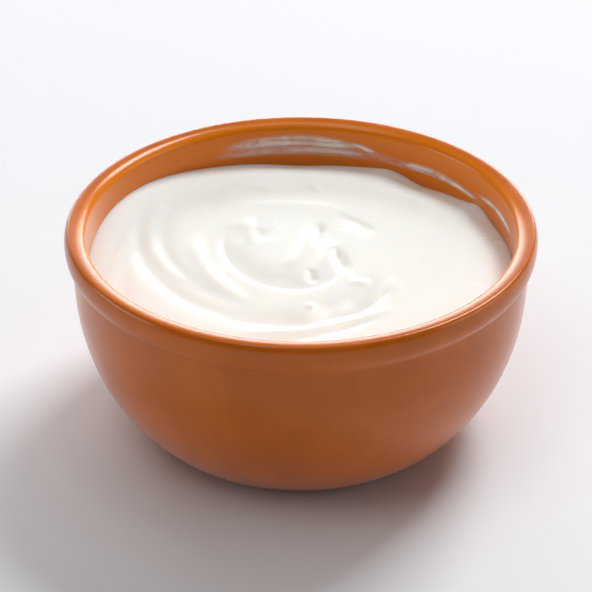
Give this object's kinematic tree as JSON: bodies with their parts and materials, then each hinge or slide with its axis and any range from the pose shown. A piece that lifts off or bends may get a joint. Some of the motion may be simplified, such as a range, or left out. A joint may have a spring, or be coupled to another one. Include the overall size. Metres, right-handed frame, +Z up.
{
  "type": "bowl of yogurt",
  "caption": "Round glazed earthenware bowl with a beaded rim and a flat foot ring, filled with stirred plain yogurt swirled by a spoon.",
  "frame": {"origin": "on the table, under the centre of the bowl", "axes": "+Z up; +X to the right of someone who faces the bowl along +Y"},
  "size_m": [0.14, 0.14, 0.067],
  "materials": {
    "glazed_clay": "orange-brown satin glaze over terracotta",
    "yogurt": null
  },
  "bodies": {
    "root": {"bowl": "glazed_clay", "yogurt": "yogurt"}
  },
  "joints": []
}
